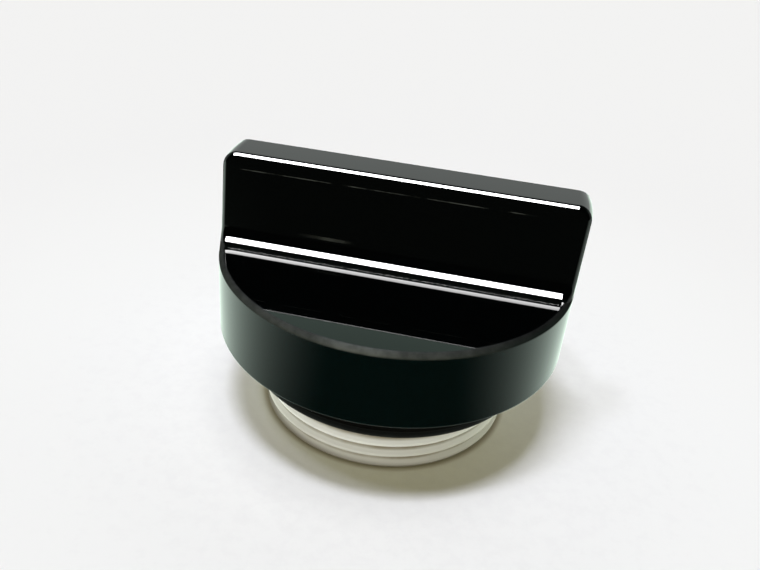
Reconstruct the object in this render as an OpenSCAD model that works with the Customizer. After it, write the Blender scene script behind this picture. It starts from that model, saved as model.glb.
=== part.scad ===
// Screw-in oil filler cap: a round head with a straight grip fin, a hollow
// threaded plug fixed under it by countersunk screws, and a rubber sealing ring.
// Millimetres, +Z up. The origin is the centre of the plug's open bottom end.
// The grip fin runs along X.

/* [Head] */
// Diameter of the head and length of the grip fin
head_d = 55; // [52:0.5:70]
// Height of the head's side wall
head_h = 12.4; // [11:0.1:18]
// Rounding of the head's upper rim
rim_top_r = 0.6; // [0.3:0.1:1.6]
// Rounding of the head's lower rim
rim_bottom_r = 0.6; // [0.3:0.1:1.2]

/* [Grip fin] */
// Height of the fin above the head's top face
fin_h = 13.6; // [10:0.1:20]
// Width of the fin at its top, before its edges are bevelled
fin_top_w = 6.6; // [5:0.1:9]
// Width of the fin at the head's top face, before its foot is blended
fin_base_w = 11.8; // [9:0.1:14]
// Bevel of the fin's two long top edges
fin_bevel = 0.6; // [0.3:0.1:1.5]
// Rounding of the fin's two upper end corners
fin_corner_r = 2.2; // [1:0.1:4]
// Radius of the hollow blend along the fin's foot
fin_foot_r = 3.1; // [1:0.1:5]

/* [Seat under the head] */
// Width of the raised seat beyond the sealing ring's outside
seat_margin = 0.2; // [0.1:0.1:1.5]
// Height of the raised seat
seat_h = 1.1; // [0.6:0.1:2]

/* [Sealing ring] */
// Thickness of the ring's round section
ring_section = 5.3; // [3:0.1:6]
// Gap between the ring's inside and the plug's neck
ring_gap = 0.15; // [0.05:0.05:0.4]

/* [Threaded plug] */
// Outside diameter of the thread
thread_d = 40; // [36:0.5:42]
// Length of the threaded part
thread_l = 7.3; // [6:0.1:14]
// Distance from one thread ridge to the next
thread_pitch = 2; // [1.5:0.1:2.5]
// Bevel at the thread's upper end
thread_bevel = 0.8; // [0.4:0.1:1.2]
// Bevel round the outside of the plug's open end
end_bevel = 0.2; // [0.1:0.05:0.3]
// Depth of the plain neck below the thread's outside
neck_depth = 1.9; // [1.4:0.1:2.5]
// Free height of the neck below the sealing ring
neck_spare = 0.3; // [0.1:0.1:2]
// Thickness of the plug's wall at the neck
wall_t = 2.1; // [1.6:0.1:3]
// Bevel at the mouth of the hollow
mouth_bevel = 0.5; // [0.2:0.1:0.8]
// Thickness of the plug's floor
floor_t = 3; // [2.6:0.1:4]
// Rounding where the hollow meets the floor
hollow_corner_r = 1; // [0.5:0.1:2]
// Width of the shoulder round the step that locates the plug in the head
shoulder_w = 3.1; // [2:0.1:4]
// Height of the locating step
spigot_h = 2.5; // [1.5:0.1:4]
// Gap round and above the locating step
spigot_gap = 0.1; // [0.05:0.05:0.3]

/* [Plug screws] */
// Number of screws
screw_count = 3; // [3:1:4]
// Flat floor between a screw's head and the hollow's rounded corner
screw_margin = 1.7; // [0.5:0.1:2.5]
// Diameter of a screw's shank
screw_d = 4; // [3:0.5:4]
// Diameter of a screw's countersunk head
screw_head_d = 7.6; // [7.2:0.1:8]
// Length of a screw, head included
screw_l = 12; // [10:0.5:13]
// Width across the flats of a screw's hexagon socket
screw_socket_w = 2.5; // [2:0.1:3]
// Depth of a screw's hexagon socket
screw_socket_depth = 1.6; // [1:0.1:1.8]
// Gap between a screw's shank and its hole in the plug
screw_hole_gap = 0.25; // [0.1:0.05:0.4]
// Gap between a screw's head and its countersink
screw_seat_gap = 0.02; // [0.01:0.01:0.1]
// Gap between a screw and its tapped hole in the head
screw_tap_gap = 0.05; // [0.02:0.01:0.1]
// Free depth of a tapped hole beyond the screw's tip
tap_spare = 1.5; // [0.5:0.1:3]
// Full angle of the cone that the drill leaves in a tapped hole
drill_angle = 118; // [90:1:140]

/* [Hidden] */

round_fn = 192;
arc_fn = 64;
small_fn = 48;
arc_steps = 10;
// How far a cutter passes the face that it cuts, or a piece sinks into its own body
over = 1;

head_r = head_d / 2;
thread_r = thread_d / 2;
neck_r = thread_r - neck_depth;
hollow_r = neck_r - wall_t;
spigot_r = neck_r - shoulder_w;
screw_r = screw_d / 2;
screw_head_r = screw_head_d / 2;
ring_r = ring_section / 2;

// Thread as plain rings, with the depth and the crest width of a metric thread.
// The lowest ridge's middle lies one crest width above the plug's open end.
flank_angle = 30;
thread_depth = 0.6134 * thread_pitch;
crest_w = thread_pitch / 8;
groove_half = (thread_pitch - crest_w) / 2;
root_half = groove_half - thread_depth * tan(flank_angle);
groove_z = crest_w + thread_pitch / 2;

// Heights of the faces that the pieces share
shoulder_z = thread_l + neck_spare + ring_section;
head_bottom_z = shoulder_z + seat_h;
head_top_z = head_bottom_z + head_h;
fin_top_z = head_top_z + fin_h;
hollow_top_z = shoulder_z - floor_t;
spigot_top_z = shoulder_z + spigot_h;

// The fin's slanted side and the centre of the arc that blends its foot
fin_slant = atan((fin_base_w - fin_top_w) / 2 / fin_h);
foot_y = fin_base_w / 2 + fin_foot_r * (1 - sin(fin_slant)) / cos(fin_slant);

// Centre of the ring's round section, and the seat above it
ring_centre_r = neck_r + ring_gap + ring_r;
ring_z = shoulder_z - ring_r;
seat_r = ring_centre_r + ring_r + seat_margin;

// Screws, from the underside of the plug's floor upwards
screw_centre_r = hollow_r - hollow_corner_r - screw_margin - screw_head_r;
screw_cone_h = screw_head_r - screw_r;
hole_r = screw_r + screw_hole_gap;
tap_r = screw_r + screw_tap_gap;
tap_top_z = hollow_top_z + screw_l + tap_spare;

// Places its children at each screw
module at_screws() {
    for (i = [0 : screw_count - 1]) {
        rotate([0, 0, 90 + i * 360 / screw_count])
            translate([screw_centre_r, 0, 0])
                children();
    }
}

// Points along an arc round [cy, cz], from angle a0 to angle a1
function arc(cy, cz, r, a0, a1) = [
    for (i = [0 : arc_steps])
        let (a = a0 + (a1 - a0) * i / arc_steps)
        [cy + r * cos(a), cz + r * sin(a)]
];

// The same points on the other side of the fin, in reverse order
function mirrored(points) = [
    for (i = [len(points) - 1 : -1 : 0])
        [-points[i][0], points[i][1]]
];

// Section of the fin across its length, with the head's top face at height 0
module fin_section() {
    foot = arc(foot_y, fin_foot_r, fin_foot_r, 270, 180 + fin_slant);
    bevel = [
        [fin_top_w / 2 + fin_bevel * tan(fin_slant), fin_h - fin_bevel],
        [fin_top_w / 2 - fin_bevel, fin_h]
    ];
    side = concat([[foot_y, -over]], foot, bevel);
    polygon(concat(side, mirrored(side)));
}

// Half section of a round body with rounded corners at its outer edge
module rounded_section(r, z0, z1, bottom_r, top_r) {
    difference() {
        translate([0, z0])
            square([r, z1 - z0]);
        translate([r - top_r, z1 - top_r])
            square([top_r + over, top_r + over]);
        translate([r - bottom_r, z0 - over])
            square([bottom_r + over, bottom_r + over]);
    }
    translate([r - top_r, z1 - top_r])
        circle(r = top_r, $fn = arc_fn);
    translate([r - bottom_r, z0 + bottom_r])
        circle(r = bottom_r, $fn = arc_fn);
}

// Grip fin, its ends trimmed flush with the head's side wall
module fin() {
    intersection() {
        translate([-head_r - over, 0, head_top_z])
            rotate([90, 0, 90])
                linear_extrude(height = head_d + 2 * over)
                    fin_section();
        rotate_extrude($fn = round_fn)
            rounded_section(head_r, head_bottom_z, fin_top_z, rim_bottom_r, fin_corner_r);
    }
}

// Head: disc, grip fin and seat in one piece
module head() {
    color([0.03, 0.03, 0.035])
        difference() {
            union() {
                rotate_extrude($fn = round_fn)
                    rounded_section(head_r, head_bottom_z, head_top_z, rim_bottom_r, rim_top_r);
                translate([0, 0, shoulder_z])
                    cylinder(h = seat_h + over, r = seat_r, $fn = round_fn);
                fin();
            }
            // Recess for the plug's locating step
            translate([0, 0, shoulder_z - over])
                cylinder(h = spigot_h + spigot_gap + over, r = spigot_r + spigot_gap, $fn = round_fn);
            // Tapped holes with drilled cone ends
            at_screws() {
                translate([0, 0, spigot_top_z])
                    cylinder(h = tap_top_z - spigot_top_z, r = tap_r, $fn = small_fn);
                translate([0, 0, tap_top_z])
                    cylinder(h = tap_r / tan(drill_angle / 2), r1 = tap_r, r2 = 0, $fn = small_fn);
            }
        }
}

// Hollow of the plug, with a rounded floor corner and a bevelled mouth
module plug_hollow() {
    rotate_extrude($fn = round_fn) {
        translate([0, -over])
            square([hollow_r, hollow_top_z - hollow_corner_r + over]);
        translate([0, -over])
            square([hollow_r - hollow_corner_r, hollow_top_z + over]);
        translate([hollow_r - hollow_corner_r, hollow_top_z - hollow_corner_r])
            circle(r = hollow_corner_r, $fn = arc_fn);
    }
    translate([0, 0, -over])
        cylinder(h = mouth_bevel + over, r1 = hollow_r + mouth_bevel + over, r2 = hollow_r, $fn = round_fn);
}

// Section of one groove between two thread ridges, with its middle at height z
module thread_groove(z) {
    mouth_half = groove_half + over * tan(flank_angle);
    translate([0, z])
        polygon([
            [thread_r - thread_depth, -root_half], [thread_r + over, -mouth_half],
            [thread_r + over, mouth_half], [thread_r - thread_depth, root_half]
        ]);
}

// Outer half section of the plug: thread, neck and locating step
module plug_section() {
    difference() {
        polygon([
            [0, 0], [thread_r - end_bevel, 0],
            [thread_r, end_bevel],
            [thread_r, thread_l - thread_bevel],
            [thread_r - thread_bevel, thread_l],
            [neck_r, thread_l], [neck_r, shoulder_z],
            [spigot_r, shoulder_z], [spigot_r, spigot_top_z],
            [0, spigot_top_z]
        ]);
        for (z = [groove_z : thread_pitch : thread_l])
            thread_groove(z);
    }
}

// Threaded plug: an open cup with a thread, a neck and a locating step
module threaded_plug() {
    color([0.78, 0.77, 0.74])
        difference() {
            rotate_extrude($fn = round_fn)
                plug_section();
            plug_hollow();
            at_screws() {
                translate([0, 0, hollow_top_z - over])
                    cylinder(h = floor_t + spigot_h + 2 * over, r = hole_r, $fn = small_fn);
                countersink();
            }
        }
}

// Countersink for one screw's head, open into the hollow
module countersink() {
    translate([0, 0, hollow_top_z - over])
        cylinder(h = screw_cone_h + over, r1 = screw_head_r + screw_seat_gap + over,
                 r2 = screw_r + screw_seat_gap, $fn = small_fn);
}

// Rubber ring round the neck, against the seat
module sealing_ring() {
    color([0.05, 0.05, 0.05])
        translate([0, 0, ring_z])
            rotate_extrude($fn = round_fn)
                translate([ring_centre_r, 0])
                    circle(r = ring_r, $fn = arc_fn);
}

// Countersunk screws with hexagon sockets, heads flush with the plug's floor
module plug_screws() {
    color([0.35, 0.35, 0.36])
        at_screws() {
            difference() {
                union() {
                    translate([0, 0, hollow_top_z])
                        cylinder(h = screw_cone_h, r1 = screw_head_r, r2 = screw_r, $fn = small_fn);
                    translate([0, 0, hollow_top_z + screw_cone_h])
                        cylinder(h = screw_l - screw_cone_h, r = screw_r, $fn = small_fn);
                }
                translate([0, 0, hollow_top_z - over])
                    cylinder(h = screw_socket_depth + over, d = screw_socket_w / cos(30), $fn = 6);
            }
        }
}

head();
threaded_plug();
sealing_ring();
plug_screws();
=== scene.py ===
import math

import bmesh
import bpy
from mathutils import Matrix, Vector


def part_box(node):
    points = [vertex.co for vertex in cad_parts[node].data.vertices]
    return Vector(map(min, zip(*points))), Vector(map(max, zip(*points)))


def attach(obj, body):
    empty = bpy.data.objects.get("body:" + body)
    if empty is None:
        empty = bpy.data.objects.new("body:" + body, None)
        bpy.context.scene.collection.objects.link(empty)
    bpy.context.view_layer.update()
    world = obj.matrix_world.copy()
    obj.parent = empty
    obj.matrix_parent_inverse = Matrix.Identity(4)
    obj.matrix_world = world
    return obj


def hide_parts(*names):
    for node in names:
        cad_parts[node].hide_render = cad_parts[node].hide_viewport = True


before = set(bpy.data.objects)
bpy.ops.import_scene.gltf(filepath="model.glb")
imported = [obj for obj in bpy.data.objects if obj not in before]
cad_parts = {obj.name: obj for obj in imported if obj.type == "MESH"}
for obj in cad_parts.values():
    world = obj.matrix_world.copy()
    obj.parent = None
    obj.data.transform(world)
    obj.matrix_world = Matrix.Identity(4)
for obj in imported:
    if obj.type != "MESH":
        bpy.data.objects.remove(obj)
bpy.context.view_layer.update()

bl_info = {
    "name": "Oil filler cap",
    "version": (1, 0, 0),
    "blender": (4, 5, 0),
    "location": "3D View > Sidebar > Filler cap",
    "description": "Dresses the packed frame of a screw-in oil filler cap",
    "category": "Object",
}

HEAD_LOW, HEAD_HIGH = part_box("head")
PLUG_LOW, PLUG_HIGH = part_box("threaded_plug")
RING_LOW, RING_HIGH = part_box("sealing_ring")
SCREWS_LOW, SCREWS_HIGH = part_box("plug_screws")

MM = 0.001
SMOOTH_ANGLE = math.radians(30)

# Tolerance for picking places, overlap that cuts and joins need, and thresholds for merging and bisecting
NEAR = 0.01 * MM
SPARE = 1 * MM
MERGE = 0.002 * MM
CUT_THRESHOLD = 0.0001 * MM

# Steps round the turned pieces, the thread and small holes, along the fin's foot and over the fin's end
WALL_STEPS = 160
THREAD_STEPS = 180
HOLE_STEPS = 48
FOOT_STEPS = 16
FIN_COLUMNS = 8

# Angle in degrees at which the hollow along the fin's foot gives way to a short straight slope
FOOT_END = 64
# Distance from the middle at which the hollow's long faces are cut, which keeps their shading even
HOLLOW_CUT = 25.2 * MM

# From the thread's crests in to the plug's neck, and from the neck in to the hollow and to the step
NECK_DEPTH = 1.9 * MM
PLUG_WALL = 2.1 * MM
STEP_DEPTH = 3.1 * MM

# Radii of a screw's head, of its tapped hole in the head and of its hole in the plug's floor
SCREW_HEAD_R = 3.8 * MM
TAPPED_R = 2.05 * MM
CLEAR_R = 2.25 * MM


# Small helpers for modelling with operators

def object_mode():
    if bpy.context.mode != "OBJECT":
        bpy.ops.object.mode_set(mode="OBJECT")


def pick(piece):
    """Makes the piece the only selected one."""
    object_mode()
    bpy.ops.object.select_all(action="DESELECT")
    piece.select_set(True)
    bpy.context.view_layer.objects.active = piece


def edit(piece):
    """Opens the mesh of the piece, with nothing else selected."""
    pick(piece)
    bpy.ops.object.mode_set(mode="EDIT")
    bpy.ops.mesh.select_mode(type="VERT")


def edit_all(piece):
    edit(piece)
    bpy.ops.mesh.select_all(action="SELECT")


def choose(piece, kind, test):
    """Selects the vertices, edges or faces of the open mesh that pass the test."""
    bpy.ops.mesh.select_mode(type=kind)
    bpy.ops.mesh.select_all(action="DESELECT")
    mesh = bmesh.from_edit_mesh(piece.data)
    parts = {"VERT": mesh.verts, "EDGE": mesh.edges, "FACE": mesh.faces}[kind]
    found = [part for part in parts if test(part)]
    for part in found:
        part.select_set(True)
    mesh.select_flush_mode()
    bmesh.update_edit_mesh(piece.data)
    if not found:
        raise RuntimeError(f"nothing to select on {piece.name}")


def ends(edge):
    """The places of an edge's two vertices."""
    return [vert.co for vert in edge.verts]


def new_primitive(name, add, **settings):
    """Adds a primitive under a name, with its place and size applied to its mesh."""
    object_mode()
    bpy.ops.object.select_all(action="DESELECT")
    add(**settings)
    piece = bpy.context.object
    piece.name = name
    piece.data.name = name
    bpy.ops.object.transform_apply(location=True, rotation=True, scale=True)
    return piece


def modify(piece, kind, **settings):
    """Adds a modifier to the piece and applies it."""
    pick(piece)
    bpy.ops.object.modifier_add(type=kind)
    modifier = piece.modifiers[-1]
    for key, value in settings.items():
        setattr(modifier, key, value)
    bpy.ops.object.modifier_apply(modifier=modifier.name)


def combine(piece, other, operation):
    """Joins, cuts or trims the piece with another solid, which is used up."""
    modify(piece, "BOOLEAN", object=other, operation=operation, solver="EXACT")
    bpy.data.objects.remove(other)
    if not piece.data.polygons:
        raise RuntimeError(f"{piece.name} vanished in a boolean")


def draw_line(name, points):
    """A chain of edges, drawn by extruding one vertex from point to point."""
    piece = new_primitive(name, bpy.ops.mesh.primitive_plane_add, size=MM)
    edit_all(piece)
    bpy.ops.mesh.merge(type="CENTER")
    bpy.ops.transform.translate(value=points[0])
    for here, there in zip(points, points[1:]):
        step = Vector(there) - Vector(here)
        bpy.ops.mesh.extrude_region_move(TRANSFORM_OT_translate={"value": step})
    object_mode()
    return piece


def move(piece, offset):
    """Moves the mesh, so that the object itself stays at the origin."""
    edit_all(piece)
    bpy.ops.transform.translate(value=offset)
    object_mode()


def spin_profile(name, points, steps):
    """A turned solid: draws a line of (radius, height) points and spins it round the axis."""
    piece = draw_line(name, [(radius, 0, height) for radius, height in points])
    edit_all(piece)
    bpy.ops.mesh.spin(steps=steps, angle=math.tau, center=(0, 0, 0), axis=(0, 0, 1))
    bpy.ops.mesh.select_all(action="SELECT")
    bpy.ops.mesh.remove_doubles(threshold=0.001 * MM)
    bpy.ops.mesh.normals_make_consistent(inside=False)
    object_mode()
    return piece


def arc(radius, height, bend, start, end, steps):
    """Points of an arc round (radius, height), from one angle to another in degrees."""
    turns = [math.radians(start + (end - start) * i / steps) for i in range(steps + 1)]
    return [(radius + bend * math.cos(turn), height + bend * math.sin(turn)) for turn in turns]


def smooth(piece):
    """Smooth shading that stops at sharp edges and keeps the large faces even."""
    pick(piece)
    bpy.ops.object.shade_smooth_by_angle(angle=SMOOTH_ANGLE)
    modify(piece, "WEIGHTED_NORMAL", keep_sharp=True, weight=80)


def finish_piece(piece, material, node):
    """Gives the piece its material, and says what it rides and the node that it replaces."""
    piece.data.materials.clear()
    piece.data.materials.append(material)
    for face in piece.data.polygons:
        face.material_index = 0
    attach(piece, "root")
    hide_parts(node)


# Sizes and colours that a user may change

class CapSizes(bpy.types.PropertyGroup):
    fin_height: bpy.props.FloatProperty(
        name="Fin height", description="Height of the grip fin above the head's top face",
        default=13.6 * MM, unit="LENGTH", subtype="DISTANCE")
    fin_top: bpy.props.FloatProperty(
        name="Fin top width", description="Width of the grip fin at its top",
        default=6.6 * MM, unit="LENGTH", subtype="DISTANCE")
    fin_base: bpy.props.FloatProperty(
        name="Fin base width", description="Width of the grip fin where it meets the top face",
        default=11.8 * MM, unit="LENGTH", subtype="DISTANCE")
    fin_foot: bpy.props.FloatProperty(
        name="Fin foot radius", description="Radius of the hollow blend along the fin's foot",
        default=3.1 * MM, unit="LENGTH", subtype="DISTANCE")
    fin_corner: bpy.props.FloatProperty(
        name="Fin corner radius", description="Rounding of the fin's two upper end corners",
        default=2.2 * MM, unit="LENGTH", subtype="DISTANCE")
    wall_height: bpy.props.FloatProperty(
        name="Wall height", description="Height of the head's side wall",
        default=12.4 * MM, unit="LENGTH", subtype="DISTANCE")
    edge: bpy.props.FloatProperty(
        name="Edge break", description="Width of the broken edge round the head's faces",
        default=0.6 * MM, unit="LENGTH", subtype="DISTANCE")
    pitch: bpy.props.FloatProperty(
        name="Thread pitch", description="Distance from one thread ridge to the next",
        default=2 * MM, unit="LENGTH", subtype="DISTANCE")
    thread_length: bpy.props.FloatProperty(
        name="Thread length", description="Length of the threaded part of the plug",
        default=7.3 * MM, unit="LENGTH", subtype="DISTANCE")
    thread_start: bpy.props.FloatProperty(
        name="Thread start", description="Height of a thread ridge on the X axis",
        default=0.71 * MM, unit="LENGTH", subtype="DISTANCE")
    thread_end: bpy.props.FloatProperty(
        name="Thread end bevel", description="Bevel at the upper end of the thread",
        default=0.8 * MM, unit="LENGTH", subtype="DISTANCE")
    mouth_bevel: bpy.props.FloatProperty(
        name="Mouth bevel", description="Bevel round the outside of the plug's open end",
        default=0.2 * MM, unit="LENGTH", subtype="DISTANCE")


class CapColours(bpy.types.PropertyGroup):
    coat: bpy.props.FloatVectorProperty(
        name="Head coat", description="Colour of the head's gloss coat",
        default=(0.0004, 0.0006, 0.0006), size=3, min=0, max=1, subtype="COLOR")
    wall: bpy.props.FloatVectorProperty(
        name="Wall coat", description="Colour of the coat on the head's side wall, with a faint green cast",
        default=(0.0002, 0.003, 0.0029), size=3, min=0, max=1, subtype="COLOR")
    metal: bpy.props.FloatVectorProperty(
        name="Plug metal", description="Colour of the bare threaded plug",
        default=(0.87, 0.87, 0.83), size=3, min=0, max=1, subtype="COLOR")
    rubber: bpy.props.FloatVectorProperty(
        name="Ring rubber", description="Colour of the sealing ring",
        default=(0.003, 0.003, 0.003), size=3, min=0, max=1, subtype="COLOR")
    screws: bpy.props.FloatVectorProperty(
        name="Screw steel", description="Colour of the plug's screws",
        default=(0.33, 0.33, 0.34), size=3, min=0, max=1, subtype="COLOR")
    floor: bpy.props.FloatVectorProperty(
        name="Floor", description="Colour of the floor",
        default=(0.86, 0.86, 0.85), size=3, min=0, max=1, subtype="COLOR")


def sizes():
    return bpy.context.scene.cap_sizes


def colours():
    return bpy.context.scene.cap_colours


# Materials

class Nodes:
    """A short way to add nodes to a tree and link them."""

    def __init__(self, tree):
        self.tree = tree

    def feed(self, node, inputs):
        """Links sockets to a node's inputs and sets plain values on them."""
        for key, value in inputs.items():
            if isinstance(value, bpy.types.NodeSocket):
                self.tree.links.new(value, node.inputs[key])
            else:
                node.inputs[key].default_value = value

    def add(self, kind, inputs=None, **settings):
        node = self.tree.nodes.new(kind)
        for key, value in settings.items():
            setattr(node, key, value)
        self.feed(node, inputs or {})
        return node

    def math(self, operation, first, second=0.0):
        return self.add("ShaderNodeMath", {0: first, 1: second}, operation=operation).outputs[0]

    def product(self, first, *others):
        for other in others:
            first = self.math("MULTIPLY", first, other)
        return first

    def off(self, value, centre):
        """How far a value is from a centre."""
        return self.math("ABSOLUTE", self.math("SUBTRACT", value, centre))

    def from_axis(self, x, y):
        return self.math("SQRT", self.math("ADD", self.product(x, x), self.product(y, y)))

    def ramp(self, value, low, high, to_low=0.0, to_high=1.0):
        return self.add("ShaderNodeMapRange", {
            "Value": value, "From Min": low, "From Max": high, "To Min": to_low, "To Max": to_high,
        }, interpolation_type="SMOOTHSTEP").outputs["Result"]

    def noise(self, vector, scale, detail, roughness=0.5):
        return self.add("ShaderNodeTexNoise", {
            "Vector": vector, "Scale": scale, "Detail": detail, "Roughness": roughness}).outputs["Fac"]

    def mix(self, factor, first, second):
        """Mixes two colours, each a socket or three numbers."""
        first, second = (
            value if isinstance(value, bpy.types.NodeSocket) else (*value, 1) for value in (first, second))
        return self.add("ShaderNodeMix", {
            "Factor": factor, "A": first, "B": second}, data_type="RGBA").outputs["Result"]

    def bump(self, height, strength, distance):
        return self.add("ShaderNodeBump", {
            "Height": height, "Strength": strength, "Distance": distance}).outputs[0]

    def object_place(self):
        """Object coordinates, whole and as x, y and z."""
        place = self.add("ShaderNodeTexCoord").outputs["Object"]
        return place, self.add("ShaderNodeSeparateXYZ", {0: place}).outputs


def clear_nodes(owner):
    """Gives a material or a world an empty node tree."""
    owner.use_nodes = True
    owner.node_tree.nodes.clear()
    return Nodes(owner.node_tree)


def new_material(name):
    material = bpy.data.materials.new(name)
    nodes = clear_nodes(material)
    shader = nodes.add("ShaderNodeBsdfPrincipled")
    nodes.add("ShaderNodeOutputMaterial", {"Surface": shader.outputs[0]})
    return material, nodes, shader


def handling_group():
    """Fine scratches and dust, shared by the coat and the metals."""
    name = "handling marks"
    if name in bpy.data.node_groups:
        return bpy.data.node_groups[name]
    group = bpy.data.node_groups.new(name, "ShaderNodeTree")
    face = group.interface
    face.new_socket("Vector", in_out="INPUT", socket_type="NodeSocketVector")
    face.new_socket("Scratch Scale", in_out="INPUT", socket_type="NodeSocketFloat")
    face.new_socket("Dust Amount", in_out="INPUT", socket_type="NodeSocketFloat")
    face.new_socket("Scratches", in_out="OUTPUT", socket_type="NodeSocketFloat")
    face.new_socket("Dust", in_out="OUTPUT", socket_type="NodeSocketFloat")
    nodes = Nodes(group)
    given = nodes.add("NodeGroupInput").outputs
    place = given["Vector"]

    # Scratches: noise stretched along one direction and bent a little
    bend = nodes.add("ShaderNodeTexNoise", {"Vector": place, "Scale": 90.0, "Detail": 2.0}).outputs["Color"]
    shift = nodes.add("ShaderNodeVectorMath", {0: bend, "Scale": 0.004}, operation="SCALE").outputs[0]
    moved = nodes.add("ShaderNodeVectorMath", {0: place, 1: shift}, operation="ADD").outputs[0]
    stretched = nodes.add("ShaderNodeMapping", {
        "Vector": moved, "Rotation": (0.4, 0.9, 0.3), "Scale": (1.0, 14.0, 14.0)}).outputs[0]
    scratch = nodes.ramp(nodes.noise(stretched, given["Scratch Scale"], 3.0, 0.7), 0.66, 0.72)

    # Dust: small specks, kept only where a second noise is high
    speck = nodes.add("ShaderNodeTexVoronoi", {"Vector": place, "Scale": 700.0}).outputs["Distance"]
    kept = nodes.ramp(nodes.noise(place, 330.0, 1.0), 0.68, 0.74)
    dust = nodes.product(nodes.ramp(speck, 0.02, 0.16, 1.0, 0.0), kept, given["Dust Amount"])
    nodes.add("NodeGroupOutput", {"Scratches": scratch, "Dust": dust})
    return group


def add_handling(nodes, vector, scale, dust):
    """Masks of the scratches and the dust on one material."""
    marks = nodes.add("ShaderNodeGroup", {
        "Vector": vector, "Scratch Scale": scale, "Dust Amount": dust}, node_tree=handling_group())
    return marks.outputs["Scratches"], marks.outputs["Dust"]


def streak(nodes, place, level, width, start, end, scale):
    """Mask of a fine broken line along the fin's front, at one height and between two places."""
    x, y, z = place
    line = nodes.ramp(nodes.off(z, level), width / 2, width, 1.0, 0.0)
    half = (end - start) / 2
    reach = nodes.ramp(nodes.off(x, start + half), half - 2 * MM, half, 1.0, 0.0)
    front = nodes.math("LESS_THAN", y, -2 * MM)
    along = nodes.add("ShaderNodeCombineXYZ", {0: x}).outputs[0]
    broken = nodes.ramp(nodes.noise(along, scale, 3.0), 0.42, 0.58)
    return nodes.product(line, reach, front, broken)


def coat_material():
    """Gloss black coat with a faint green cast on the wall, dull where it thins out on the turned rim, whose
    grey carries a painted highlight.
    """
    material, nodes, shader = new_material("gloss black coat")
    place, (x, y, z) = nodes.object_place()
    rim_r = HEAD_HIGH.x
    rim_z = HEAD_HIGH.z - sizes().fin_height
    rim = nodes.product(
        nodes.ramp(nodes.from_axis(x, y), rim_r - 0.95 * MM, rim_r - 0.6 * MM),
        nodes.ramp(z, rim_z - 0.9 * MM, rim_z - 0.55 * MM),
        nodes.ramp(z, rim_z, rim_z + 0.4 * MM, 1.0, 0.0))

    # Grey on the rim where the coat is dull: partly wear, partly painted highlight, most of it at the front's
    # middle and least at its right
    rim_wear_and_highlight = nodes.product(
        nodes.ramp(x, 8 * MM, 23 * MM, 0.5, 0.1), nodes.ramp(x, -24 * MM, -10 * MM, 0.6, 1.0))
    # Painted highlight: the rim's grey is brighter at the front's middle
    painted_rim_highlight = nodes.ramp(nodes.off(x, -0.5 * MM), 2 * MM, 7 * MM, 0.5, 0.0)
    mottle = nodes.ramp(nodes.noise(place, 900.0, 3.0, 0.6), 0.3, 0.7, 0.75, 1.1)
    rim_wear_and_highlight = nodes.product(rim, nodes.math("ADD", rim_wear_and_highlight, painted_rim_highlight), mottle)

    # A long fine grey line near the fin's top, a short wider grey line above its foot, and dust
    dust = add_handling(nodes, place, 160.0, 0.25)[1]
    upper_fin_line = streak(nodes, (x, y, z), HEAD_HIGH.z - 2.3 * MM, 0.09 * MM, -26 * MM, 20 * MM, 170.0)
    lower_fin_line = streak(nodes, (x, y, z), HEAD_HIGH.z - 10.7 * MM, 0.3 * MM, -15 * MM, -6 * MM, 60.0)
    marks = nodes.math("MAXIMUM", nodes.product(nodes.math("MAXIMUM", upper_fin_line, lower_fin_line), 0.5), dust)

    on_wall = nodes.ramp(z, rim_z - 0.5 * MM, rim_z, 1.0, 0.0)
    black = nodes.mix(on_wall, colours().coat, colours().wall)
    nodes.feed(shader, {
        "Base Color": nodes.mix(nodes.math("MAXIMUM", rim_wear_and_highlight, marks), black, (0.085, 0.092, 0.088)),
        "Roughness": 0.5, "Specular IOR Level": 0.0,
        "Coat Weight": nodes.math("SUBTRACT", 1.0, rim), "Coat Roughness": 0.02, "Coat IOR": 1.5})
    return material


def metal_material():
    """Bare turned aluminium with fine tool rings, with painted shade in the thread's roots, towards its
    bottom and at its foot.
    """
    material, nodes, shader = new_material("bare turned aluminium")
    place, (x, y, z) = nodes.object_place()
    radius = nodes.from_axis(x, y)
    crest_r = PLUG_HIGH.x
    thread_z = sizes().thread_length
    scratches = add_handling(nodes, place, 240.0, 0.3)[0]
    stain = nodes.noise(place, 140.0, 4.0, 0.6)
    outside = nodes.ramp(radius, crest_r - 2.3 * MM, crest_r - 1.6 * MM)
    # Painted shade: patchy darkening in the thread's roots
    painted_root_shade = nodes.product(
        nodes.ramp(radius, crest_r - 0.95 * MM, crest_r - 0.35 * MM, 1.0, 0.0), outside,
        nodes.ramp(z, thread_z, thread_z + 0.3 * MM, 1.0, 0.0), nodes.ramp(stain, 0.3, 0.7, 0.7, 1.0))
    # Painted shade: darker towards the bottom, and a dark painted contact shade at the foot
    low = nodes.product(nodes.ramp(z, 0, 5 * MM, 0.5, 0.0), outside)
    foot = nodes.product(nodes.ramp(z, 0.15 * MM, 0.8 * MM, 0.75, 0.0), outside)
    colour = nodes.mix(nodes.math("MAXIMUM", painted_root_shade, low), colours().metal, (0.27, 0.235, 0.17))
    colour = nodes.mix(foot, colour, (0.09, 0.065, 0.035))
    rings = nodes.math("SINE", nodes.product(nodes.math("ADD", radius, z), math.tau / (0.16 * MM)))
    rough = nodes.math("ADD", nodes.product(stain, 0.18), nodes.product(scratches, 0.1))
    nodes.feed(shader, {
        "Base Color": colour, "Metallic": 0.45, "Roughness": nodes.math("ADD", rough, 0.38),
        "Normal": nodes.bump(rings, 0.12, 0.01 * MM)})
    return material


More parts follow.
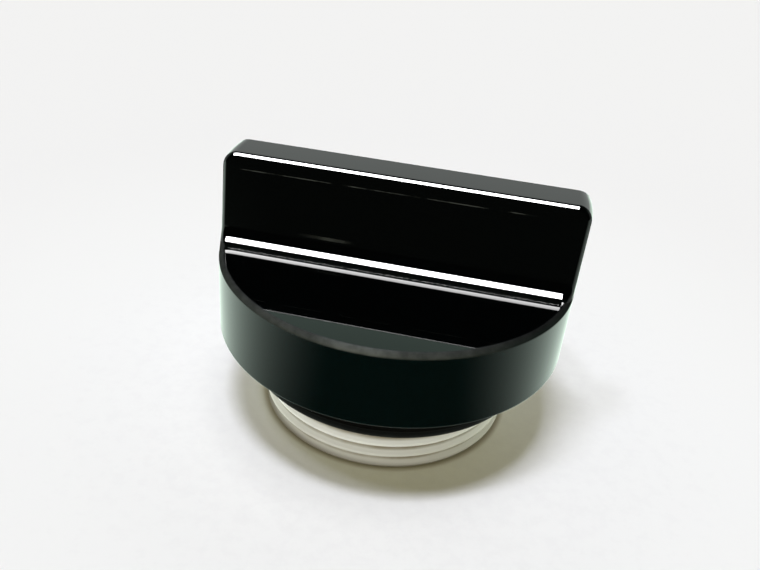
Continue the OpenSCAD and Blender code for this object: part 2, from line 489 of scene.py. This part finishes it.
def rubber_material():
    """Matte black rubber with a faint dusty bloom."""
    material, nodes, shader = new_material("ring rubber")
    place = nodes.object_place()[0]
    bloom = nodes.noise(place, 260.0, 5.0, 0.65)
    dusty = nodes.ramp(bloom, 0.45, 0.75, 0.0, 0.35)
    nodes.feed(shader, {
        "Base Color": nodes.mix(dusty, colours().rubber, (0.012, 0.012, 0.011)),
        "Roughness": nodes.ramp(bloom, 0.3, 0.7, 0.42, 0.6), "Specular IOR Level": 0.15,
        "Normal": nodes.bump(bloom, 0.2, 0.02 * MM)})
    return material


def steel_material():
    """Plain steel of the plug's screws."""
    material, nodes, shader = new_material("screw steel")
    place = nodes.object_place()[0]
    scratches, dust = add_handling(nodes, place, 420.0, 0.2)
    marks = nodes.math("MAXIMUM", nodes.product(scratches, 0.5), dust)
    nodes.feed(shader, {
        "Base Color": nodes.mix(marks, colours().screws, (0.55, 0.54, 0.52)), "Metallic": 1.0,
        "Roughness": nodes.ramp(nodes.noise(place, 900.0, 3.0), 0.3, 0.7, 0.28, 0.42)})
    return material


# Shapes and places that the pieces are made from

def fin_section(top_z, fin_z):
    """Half of the fin's section as (y, z), from the top face up: a slope, the foot's hollow and the side."""
    s = sizes()
    lean = math.atan((s.fin_base - s.fin_top) / 2 / s.fin_height)
    blend_y = s.fin_base / 2 + s.fin_foot * (1 - math.sin(lean)) / math.cos(lean)
    hollow = arc(
        blend_y, top_z + s.fin_foot, s.fin_foot, 180 + FOOT_END, 180 + math.degrees(lean), FOOT_STEPS)
    low_y, low_z = hollow[0]
    foot_y = low_y + (low_z - top_z) * math.tan(math.radians(FOOT_END))
    return [(foot_y, top_z), *hollow, (s.fin_top / 2, fin_z)]


def screw_places():
    """Offsets of the three screws from the axis, one of them on the Y axis."""
    reach = SCREWS_HIGH.y - SCREW_HEAD_R
    return [
        (reach * math.cos(turn), reach * math.sin(turn), 0)
        for turn in (math.radians(90 + 120 * i) for i in range(3))]


# Half of a ridge's section in pitches, as (depth, height) from the crest to the root
HALF_RIDGE = (
    (0, 0), (0.015, 0.06), (0.06, 0.125), (0.15, 0.20), (0.275, 0.285), (0.40, 0.37), (0.465, 0.42),
    (0.4925, 0.465), (0.5, 0.5))


def thread_solid(low, high, crest_r, pitch, start):
    """A solid bounded by a right-hand thread with rounded ridges, between two heights."""
    first = math.floor((low - start) / pitch) - 2
    half = [(crest_r - down * pitch, along * pitch) for down, along in HALF_RIDGE]
    other = [(r, pitch - z) for r, z in half[-2::-1]]
    points = [(r, z + start + first * pitch) for r, z in half + other]
    piece = draw_line("cap_thread", [(radius, 0, height) for radius, height in points])
    turns = math.ceil((high - low) / pitch) + 4
    modify(piece, "SCREW", screw_offset=pitch, iterations=turns, steps=THREAD_STEPS,
           render_steps=THREAD_STEPS, axis="Z", use_merge_vertices=False)
    edit_all(piece)
    bpy.ops.mesh.remove_doubles(threshold=MERGE)
    for height, flip in ((low, False), (high, True)):
        bpy.ops.mesh.select_all(action="SELECT")
        bpy.ops.mesh.bisect(plane_co=(0, 0, height), plane_no=(0, 0, 1), use_fill=True,
                            threshold=CUT_THRESHOLD, clear_inner=not flip, clear_outer=flip)
    bpy.ops.mesh.select_all(action="SELECT")
    bpy.ops.mesh.normals_make_consistent(inside=False)
    object_mode()
    return piece


# Operators, one for each piece or group of like pieces

class CAP_OT_head(bpy.types.Operator):
    """Builds the black head: side wall, top face and grip fin in one piece"""
    bl_idname = "cap.head"
    bl_label = "Head"

    def execute(self, context):
        s = sizes()
        radius = HEAD_HIGH.x
        fin_z = HEAD_HIGH.z
        top_z = fin_z - s.fin_height
        bottom_z = top_z - s.wall_height
        head = self.quarter(radius, top_z, bottom_z, fin_z)
        modify(head, "MIRROR", use_axis=(True, True, False), merge_threshold=MERGE)
        self.clean_faces(head, top_z, fin_z)
        self.round_edges(head, top_z, bottom_z, fin_z)
        self.cut_underside(head, bottom_z)
        self.mark_foot(head, top_z, fin_z)
        smooth(head)
        finish_piece(head, coat_material(), "head")
        return {"FINISHED"}

    def quarter(self, radius, top_z, bottom_z, fin_z):
        """One quarter of the head: the fin's end on the side wall, and the faces behind it."""
        edge_line = fin_section(top_z, fin_z)
        foot_y = edge_line[0][0]
        piece = draw_line("cap_head", [(0, y, z) for y, z in edge_line])

        # Columns of the fin's end, each narrower than the last, then set on the wall
        edit_all(piece)
        for column in range(FIN_COLUMNS, 0, -1):
            bpy.ops.mesh.extrude_region_move()
            bpy.ops.transform.resize(value=(1, (column - 1) / column, 1), center_override=(0, 0, 0))
        wall = new_primitive(
            "cap_head_wall", bpy.ops.mesh.primitive_cylinder_add, vertices=9 * WALL_STEPS, radius=radius,
            depth=2 * fin_z, location=(0, 0, fin_z))
        modify(piece, "SHRINKWRAP", target=wall, wrap_method="PROJECT", use_project_x=True,
               use_positive_direction=True, use_negative_direction=False)
        bpy.data.objects.remove(wall)

        # Wall below the fin's end, and round to the side
        edit(piece)
        choose(piece, "EDGE", lambda e: all(abs(co.z - top_z) < NEAR for co in ends(e)))
        bpy.ops.mesh.extrude_region_move(TRANSFORM_OT_translate={"value": (0, 0, bottom_z - top_z)})
        choose(piece, "EDGE", lambda e: all(
            abs(co.y - foot_y) < NEAR and co.z < top_z + NEAR for co in ends(e)))
        turn = math.pi / 2 - math.asin(foot_y / radius)
        bpy.ops.mesh.spin(
            steps=round(turn / math.tau * WALL_STEPS), angle=-turn, center=(0, 0, 0), axis=(0, 0, 1))

        # Faces behind the wall: top face, foot blend, fin side and fin top
        choose(piece, "EDGE", lambda e: e.is_boundary and all(
            co.z > top_z - NEAR for co in ends(e)) and any(co.y > NEAR for co in ends(e)))
        bpy.ops.mesh.extrude_region_move()
        bpy.ops.transform.resize(value=(0, 1, 1), center_override=(0, 0, 0))
        bpy.ops.mesh.select_all(action="SELECT")
        bpy.ops.mesh.remove_doubles(threshold=MERGE)
        object_mode()
        return piece

    def clean_faces(self, head, top_z, fin_z):
        """Closes the bottom and turns each flat region into one face."""
        edit(head)
        choose(head, "EDGE", lambda e: e.is_boundary)
        bpy.ops.mesh.edge_face_add()
        bpy.ops.mesh.select_all(action="SELECT")
        bpy.ops.mesh.normals_make_consistent(inside=False)
        for level in (top_z, fin_z):
            choose(head, "FACE", lambda f: f.normal.z > 0.999
                   and abs(f.calc_center_median().z - level) < NEAR)
            bpy.ops.mesh.dissolve_faces()
        choose(head, "EDGE", lambda e: all(
            abs(co.x) < NEAR and top_z - NEAR < co.z < fin_z + NEAR for co in ends(e))
            and e.calc_length() > NEAR and abs(ends(e)[0].y) < sizes().fin_base)
        bpy.ops.mesh.dissolve_edges()

    def round_edges(self, head, top_z, bottom_z, fin_z):
        """Rounds the bottom edge and the fin's upper corners, then breaks the edge all round each side."""
        s = sizes()
        choose(head, "EDGE", lambda e: all(co.z < bottom_z + NEAR for co in ends(e)))
        bpy.ops.mesh.bevel(offset=s.edge, segments=5, affect="EDGES", clamp_overlap=False)
        choose(head, "EDGE", lambda e: all(co.z > fin_z - NEAR and abs(co.x) > NEAR for co in ends(e))
               and abs(ends(e)[0].x - ends(e)[1].x) < s.fin_top)
        bpy.ops.mesh.bevel(offset=s.fin_corner, segments=10, affect="EDGES", clamp_overlap=False)
        side = {
            face.index for face in bmesh.from_edit_mesh(head.data).faces
            if abs(face.normal.x) < 0.001 and face.normal.z > 0.05
            and face.calc_center_median().z > top_z - NEAR
            and (face.normal.z < 0.999 or face.calc_center_median().z < top_z + NEAR)}
        choose(head, "EDGE", lambda e: sum(face.index in side for face in e.link_faces) == 1)
        bpy.ops.mesh.bevel(offset=s.edge, segments=4, profile=0.35, affect="EDGES", clamp_overlap=False)

        # Cuts near the ends of the hollow's long faces
        for cut_x in (-HOLLOW_CUT, HOLLOW_CUT):
            choose(head, "FACE", lambda f: abs(f.normal.x) < 0.001 and 0.05 < f.normal.z < 0.999
                   and top_z < f.calc_center_median().z < top_z + s.fin_foot)
            bpy.ops.mesh.bisect(plane_co=(cut_x, 0, 0), plane_no=(1, 0, 0), threshold=CUT_THRESHOLD)
        object_mode()

    def cut_underside(self, head, bottom_z):
        """Adds the seat below, with the recess for the plug's step and the tapped holes."""
        seat_z = HEAD_LOW.z
        seat_r = RING_HIGH.x + 0.2 * MM
        seat_edge = 0.15 * MM
        seat = spin_profile("cap_head_seat", [
            (0, bottom_z + SPARE), (seat_r, bottom_z + SPARE), (seat_r, seat_z + seat_edge),
            (seat_r - seat_edge, seat_z), (0, seat_z)], WALL_STEPS)
        combine(head, seat, "UNION")
        play = 0.1 * MM
        recess_r = PLUG_HIGH.x - NECK_DEPTH - STEP_DEPTH + play
        recess_z = PLUG_HIGH.z + play
        recess = spin_profile("cap_head_recess", [
            (0, seat_z - SPARE), (recess_r, seat_z - SPARE), (recess_r, recess_z), (0, recess_z)], WALL_STEPS)
        combine(head, recess, "DIFFERENCE")
        hole_end = SCREWS_HIGH.z + 1.5 * MM
        drill_tip = SCREWS_HIGH.z + 2.7 * MM
        for place in screw_places():
            hole = spin_profile("cap_head_hole", [
                (0, recess_z - SPARE), (TAPPED_R, recess_z - SPARE), (TAPPED_R, hole_end),
                (0, drill_tip)], 32)
            move(hole, place)
            combine(head, hole, "DIFFERENCE")

    def mark_foot(self, head, top_z, fin_z):
        """Marks the line where the foot's slope meets the top face as sharp."""
        foot_y = fin_section(top_z, fin_z)[0][0]
        edit(head)
        choose(head, "EDGE", lambda e: all(
            abs(abs(co.y) - foot_y) < NEAR and abs(co.z - top_z) < NEAR for co in ends(e)))
        bpy.ops.mesh.mark_sharp()


class CAP_OT_plug(bpy.types.Operator):
    """Builds the hollow plug with its real thread"""
    bl_idname = "cap.plug"
    bl_label = "Threaded plug"

    def execute(self, context):
        s = sizes()
        crest_r = PLUG_HIGH.x
        neck_r = crest_r - NECK_DEPTH
        hollow_r = neck_r - PLUG_WALL
        step_r = neck_r - STEP_DEPTH
        shoulder_z = HEAD_LOW.z
        step_z = PLUG_HIGH.z
        floor_z = SCREWS_LOW.z
        end = s.thread_end
        soft = 0.2 * MM
        corner = 1 * MM
        lip = 0.5 * MM

        # The blank reaches a little past the crests, and the thread trims it
        past = 0.05 * MM
        plug = spin_profile("cap_plug", [
            (0, floor_z), *arc(hollow_r - corner, floor_z - corner, corner, 90, 0, 8),
            (hollow_r, lip), (hollow_r + lip, 0), (crest_r - s.mouth_bevel, 0),
            (crest_r + past, s.mouth_bevel + past), (crest_r + past, s.thread_length - end - past),
            (crest_r - end, s.thread_length), (neck_r + soft, s.thread_length),
            (neck_r, s.thread_length + soft), (neck_r, shoulder_z), (step_r, shoulder_z),
            (step_r, step_z - soft), (step_r - soft, step_z), (0, step_z)], WALL_STEPS)
        thread = thread_solid(-SPARE, s.thread_length + 0.1 * MM, crest_r, s.pitch, s.thread_start)

        # Round the neck the trimming solid is plain, and wider than the neck
        wider = 0.4 * MM
        upper = spin_profile("cap_plug_upper", [
            (0, s.thread_length - wider), (neck_r + wider, s.thread_length - wider),
            (neck_r + wider, step_z + SPARE), (0, step_z + SPARE)], WALL_STEPS)
        combine(thread, upper, "UNION")
        combine(plug, thread, "INTERSECT")

        # Countersunk holes, a little wider than the screws' heads and shanks
        sink_r = SCREW_HEAD_R + 0.02 * MM
        for place in screw_places():
            hole = spin_profile("cap_plug_hole", [
                (0, floor_z - SPARE), (sink_r + SPARE, floor_z - SPARE),
                (CLEAR_R, floor_z + sink_r - CLEAR_R), (CLEAR_R, step_z + SPARE),
                (0, step_z + SPARE)], HOLE_STEPS)
            move(hole, place)
            combine(plug, hole, "DIFFERENCE")
        smooth(plug)
        finish_piece(plug, metal_material(), "threaded_plug")
        return {"FINISHED"}


class CAP_OT_ring(bpy.types.Operator):
    """Builds the rubber sealing ring with its faint mould line"""
    bl_idname = "cap.ring"
    bl_label = "Sealing ring"

    def execute(self, context):
        section_r = (RING_HIGH.z - RING_LOW.z) / 2
        middle_z = (RING_HIGH.z + RING_LOW.z) / 2
        ring = new_primitive(
            "cap_ring", bpy.ops.mesh.primitive_torus_add, major_radius=RING_HIGH.x - section_r,
            minor_radius=section_r, major_segments=WALL_STEPS, minor_segments=48, location=(0, 0, middle_z))

        def on_line(co):
            return abs(co.z - middle_z) < NEAR and co.xy.length > RING_HIGH.x - 0.1 * MM

        edit(ring)
        choose(ring, "EDGE", lambda e: all(on_line(co) for co in ends(e)))
        bpy.ops.mesh.bevel(offset=0.08 * MM, segments=2, affect="EDGES")
        choose(ring, "VERT", lambda v: on_line(v.co))
        grow = 1 + 0.05 * MM / RING_HIGH.x
        bpy.ops.transform.resize(value=(grow, grow, 1))
        object_mode()
        smooth(ring)
        finish_piece(ring, rubber_material(), "sealing_ring")
        return {"FINISHED"}


class CAP_OT_screws(bpy.types.Operator):
    """Builds one countersunk socket screw and sets copies of it in the plug's floor"""
    bl_idname = "cap.screws"
    bl_label = "Plug screws"

    def execute(self, context):
        low = SCREWS_LOW.z
        high = SCREWS_HIGH.z
        rim = 0.1 * MM
        head_height = 1.85 * MM
        shank_r = 2 * MM
        tip = 0.3 * MM
        first = spin_profile("cap_screw_1", [
            (0, low), (SCREW_HEAD_R - rim, low), (SCREW_HEAD_R, low + 0.06 * MM), (SCREW_HEAD_R, low + rim),
            (shank_r, low + head_height), (shank_r, high - tip), (shank_r - tip, high),
            (0, high)], HOLE_STEPS)

        # Hexagon socket with a lead-in round its mouth
        across = 2.5 * MM
        depth = 1.6 * MM
        lead = 0.25 * MM
        socket = new_primitive(
            "cap_screw_socket", bpy.ops.mesh.primitive_cylinder_add, vertices=6,
            radius=across / math.sqrt(3), depth=depth + SPARE, location=(0, 0, low + (depth - SPARE) / 2))
        combine(first, socket, "DIFFERENCE")
        mouth = spin_profile("cap_screw_mouth", [
            (0, low - SPARE), (across / 2 + lead + SPARE, low - SPARE), (across / 2, low + lead),
            (0, low + lead)], HOLE_STEPS)
        combine(first, mouth, "DIFFERENCE")
        smooth(first)
        steel = steel_material()
        screws = [first]
        for number in (2, 3):
            copy = first.copy()
            copy.data = first.data.copy()
            copy.name = f"cap_screw_{number}"
            bpy.context.collection.objects.link(copy)
            screws.append(copy)
        for screw, place in zip(screws, screw_places()):
            move(screw, place)
            finish_piece(screw, steel, "plug_screws")
        return {"FINISHED"}


class CAP_OT_stage(bpy.types.Operator):
    """Sets the floor, the soft lights and the camera"""
    bl_idname = "cap.stage"
    bl_label = "Stage"

    # Each key light's tilt to the left and to the front and its width in degrees, and its strength
    KEY_LIGHTS = ((3, 6.65, 11, 1.45), (10.5, 6.65, 7, 0.6), (20, 14, 7, 0.45))
    LIGHT_HEIGHT = 0.6

    # The bright card: the elevations of its long edges in degrees, its ends in X, its distance and strength
    CARD_EDGES = (57.3, 87)
    CARD_ENDS = (-0.45, 0.12)
    CARD_REACH = 0.6
    CARD_STRENGTH = 105.0

    # The camera, fitted to the photograph: place, turns about its own axes in degrees, and lens
    CAMERA_PLACE = (0.0140, -0.1081, 0.0845)
    CAMERA_TURNS = ((8.61, "Z"), (90 - 30.61, "X"), (5.57, "Z"))
    FOCAL_PIXELS = 789.54
    PHOTO_WIDTH = 760
    SENSOR = 36

    def execute(self, context):
        floor = new_primitive(
            "stage_floor", bpy.ops.mesh.primitive_plane_add, size=6, location=(0, 0, -0.02 * MM))
        floor.data.materials.append(self.floor_material())
        self.key_lights()
        self.front_light()
        self.card()
        self.world()
        self.camera()
        return {"FINISHED"}

    def floor_material(self):
        """Pale paper, a little darker far off, with a painted shadow where the plug touches it, and its own
        look in gloss.
        """
        material, nodes, shader = new_material("pale floor")
        place, (x, y, _) = nodes.object_place()
        away = nodes.from_axis(x, y)
        paper = nodes.noise(place, 420.0, 4.0, 0.7)
        patchy = nodes.ramp(paper, 0.35, 0.7, 0.0, 0.4)
        far = nodes.ramp(away, 0.02, 0.13)
        # Painted shadow: a dark brown ring on the floor round the plug's foot
        painted_contact_shadow = nodes.ramp(away, PLUG_HIGH.x, PLUG_HIGH.x + 1.1 * MM, 0.6, 0.0)
        tone = nodes.mix(nodes.math("MAXIMUM", patchy, far), colours().floor, (0.795, 0.79, 0.79))
        nodes.feed(shader, {
            "Base Color": nodes.mix(painted_contact_shadow, tone, (0.22, 0.16, 0.08)), "Roughness": 0.9,
            "Specular IOR Level": 0.1, "Normal": nodes.bump(paper, 0.25, 0.1 * MM)})

        # What gloss sees of the floor: dark in front of the cap, paler towards its sides and back
        turn = nodes.off(nodes.math("ARCTAN2", x, nodes.product(y, -1.0)), math.radians(11))
        side = nodes.ramp(turn, math.radians(28), math.radians(106), 0.03, 1.45)
        near = nodes.ramp(away, 0.028, 0.038, 0.2, 0.0)
        glow = nodes.add("ShaderNodeEmission", {
            "Color": (0.83, 1.0, 0.88, 1), "Strength": nodes.math("MAXIMUM", side, near)})
        in_gloss = nodes.add("ShaderNodeLightPath").outputs["Is Glossy Ray"]
        both = nodes.add("ShaderNodeMixShader", {0: in_gloss, 1: shader.outputs[0], 2: glow.outputs[0]})
        output = next(node for node in nodes.tree.nodes if node.type == "OUTPUT_MATERIAL")
        nodes.feed(output, {"Surface": both.outputs[0]})
        return material

    def lamp(self, name, kind, place, aim, power, colour):
        """Adds a lamp that gloss doesn't see, turned towards a point."""
        data = bpy.data.lights.new(name, kind)
        data.energy = power
        data.color = colour
        lamp = bpy.data.objects.new(name, data)
        bpy.context.collection.objects.link(lamp)
        lamp.location = place
        lamp.rotation_euler = (Vector(place) - Vector(aim)).to_track_quat("Z", "Y").to_euler()
        lamp.visible_glossy = False
        return lamp

    def key_lights(self):
        """Three soft discs of light in a row, nearly overhead, for a shadow that is wider on the right."""
        height = self.LIGHT_HEIGHT
        for number, (left, front, width, power) in enumerate(self.KEY_LIGHTS, start=1):
            place = (-height * math.tan(math.radians(left)), -height * math.tan(math.radians(front)), height)
            lamp = self.lamp(f"key_light_{number}", "SUN", place, (0, 0, 0), power, (0.85, 0.87, 1.0))
            lamp.data.angle = math.radians(width)

    def front_light(self):
        """A low lamp at the front left, for the bare metal alone."""
        lamp = self.lamp("front_light", "AREA", (-0.2, -0.55, 0.2), (0, 0, 0.02), 3.3, (0.93, 0.95, 1.0))
        lamp.data.shape = "RECTANGLE"
        lamp.data.size, lamp.data.size_y = (0.4, 0.12)
        self.only_on(lamp, "cap_plug")

    def card(self):
        """A long bright card that only the head's gloss sees, for the lines along the fin."""
        card = new_primitive("stage_card", bpy.ops.mesh.primitive_plane_add, size=1)
        edit_all(card)
        bpy.ops.mesh.subdivide(number_cuts=3)
        object_mode()
        low, high = (math.radians(edge) for edge in self.CARD_EDGES)
        a, b, c, d = [
            Vector((x, -self.CARD_REACH * math.cos(edge), self.CARD_REACH * math.sin(edge) + 0.03))
            for edge in (low, high) for x in self.CARD_ENDS]
        for vert in card.data.vertices:
            u, v = vert.co.x + 0.5, vert.co.y + 0.5
            vert.co = a.lerp(b, u).lerp(c.lerp(d, u), v)
        material = bpy.data.materials.new("bright card")
        nodes = clear_nodes(material)
        glow = nodes.add("ShaderNodeEmission", {"Strength": self.CARD_STRENGTH})
        nodes.add("ShaderNodeOutputMaterial", {"Surface": glow.outputs[0]})
        card.data.materials.append(material)
        card.visible_camera = False
        card.visible_diffuse = False
        card.visible_shadow = False
        card.visible_transmission = False
        self.only_on(card, "cap_head")

    def only_on(self, lamp, piece):
        """Keeps a lamp or a card to one piece, so that it does not burn out the others."""
        lit = bpy.data.collections.new(lamp.name + " falls on")
        lit.objects.link(bpy.data.objects[piece])
        lamp.light_linking.receiver_collection = lit

    def world(self):
        """Soft light from the sides and back, another look in gloss, and a pale backdrop."""
        world = bpy.data.worlds.new("soft room")
        bpy.context.scene.world = world
        nodes = clear_nodes(world)
        around = nodes.add("ShaderNodeTexCoord").outputs["Generated"]
        _, y, z = nodes.add("ShaderNodeSeparateXYZ", {0: around}).outputs

        # What lights the pieces: a warm glow near the horizon and a cool one from behind
        down = nodes.math("SUBTRACT", 1.0, z)
        low = self.background(nodes, (1.0, 0.93, 0.53, 1), nodes.product(down, down, 1.88))
        back = self.background(
            nodes, (0.85, 0.9, 1.0, 1), nodes.product(nodes.math("MAXIMUM", y, 0.0), 0.9))
        soft = nodes.add("ShaderNodeAddShader", {0: low, 1: back}).outputs[0]

        # What gloss sees: pale behind the cap, dark in front of it and overhead
        seen = nodes.product(nodes.ramp(y, -0.25, 0.35, 0.01, 1.0), nodes.ramp(z, 0.45, 0.85, 0.78, 0.05))
        tint = nodes.mix(nodes.ramp(z, 0.42, 0.56), (0.93, 1.0, 0.96), (0.78, 1.05, 0.91))
        gloss = self.background(nodes, tint, seen)

        white = self.background(nodes, (1, 1, 1, 1), 0.887)
        ray = nodes.add("ShaderNodeLightPath").outputs
        light = nodes.add("ShaderNodeMixShader", {0: ray["Is Glossy Ray"], 1: soft, 2: gloss}).outputs[0]
        whole = nodes.add("ShaderNodeMixShader", {0: ray["Is Camera Ray"], 1: light, 2: white}).outputs[0]
        nodes.add("ShaderNodeOutputWorld", {"Surface": whole})

    def background(self, nodes, colour, strength):
        return nodes.add("ShaderNodeBackground", {"Color": colour, "Strength": strength}).outputs[0]

    def camera(self):
        scene = bpy.context.scene
        data = bpy.data.cameras.new("photo_camera")
        camera = bpy.data.objects.new("photo_camera", data)
        bpy.context.collection.objects.link(camera)
        data.sensor_width = self.SENSOR
        data.lens = self.SENSOR * self.FOCAL_PIXELS / self.PHOTO_WIDTH
        data.clip_start = 0.005
        matrix = Matrix.Translation(self.CAMERA_PLACE)
        for angle, axis in self.CAMERA_TURNS:
            matrix = matrix @ Matrix.Rotation(math.radians(angle), 4, axis)
        camera.matrix_world = matrix
        scene.camera = camera
        scene.view_settings.view_transform = "Standard"


class CAP_PT_panel(bpy.types.Panel):
    """Lists the cap's pieces, sizes and colours"""
    bl_idname = "CAP_PT_panel"
    bl_label = "Filler cap"
    bl_space_type = "VIEW_3D"
    bl_region_type = "UI"
    bl_category = "Filler cap"

    def draw(self, context):
        layout = self.layout
        for operator in OPERATORS:
            layout.operator(operator.bl_idname)
        for group in (context.scene.cap_sizes, context.scene.cap_colours):
            column = layout.column()
            for name in group.__annotations__:
                column.prop(group, name)


OPERATORS = (CAP_OT_head, CAP_OT_plug, CAP_OT_ring, CAP_OT_screws, CAP_OT_stage)
CLASSES = (CapSizes, CapColours, *OPERATORS, CAP_PT_panel)


def register():
    for cls in CLASSES:
        bpy.utils.register_class(cls)
    bpy.types.Scene.cap_sizes = bpy.props.PointerProperty(type=CapSizes)
    bpy.types.Scene.cap_colours = bpy.props.PointerProperty(type=CapColours)


def unregister():
    del bpy.types.Scene.cap_colours
    del bpy.types.Scene.cap_sizes
    for cls in reversed(CLASSES):
        bpy.utils.unregister_class(cls)


def main():
    register()
    bpy.ops.cap.head()
    bpy.ops.cap.plug()
    bpy.ops.cap.ring()
    bpy.ops.cap.screws()
    bpy.ops.cap.stage()
    bpy.context.view_layer.update()


if __name__ == "__main__":
    main()
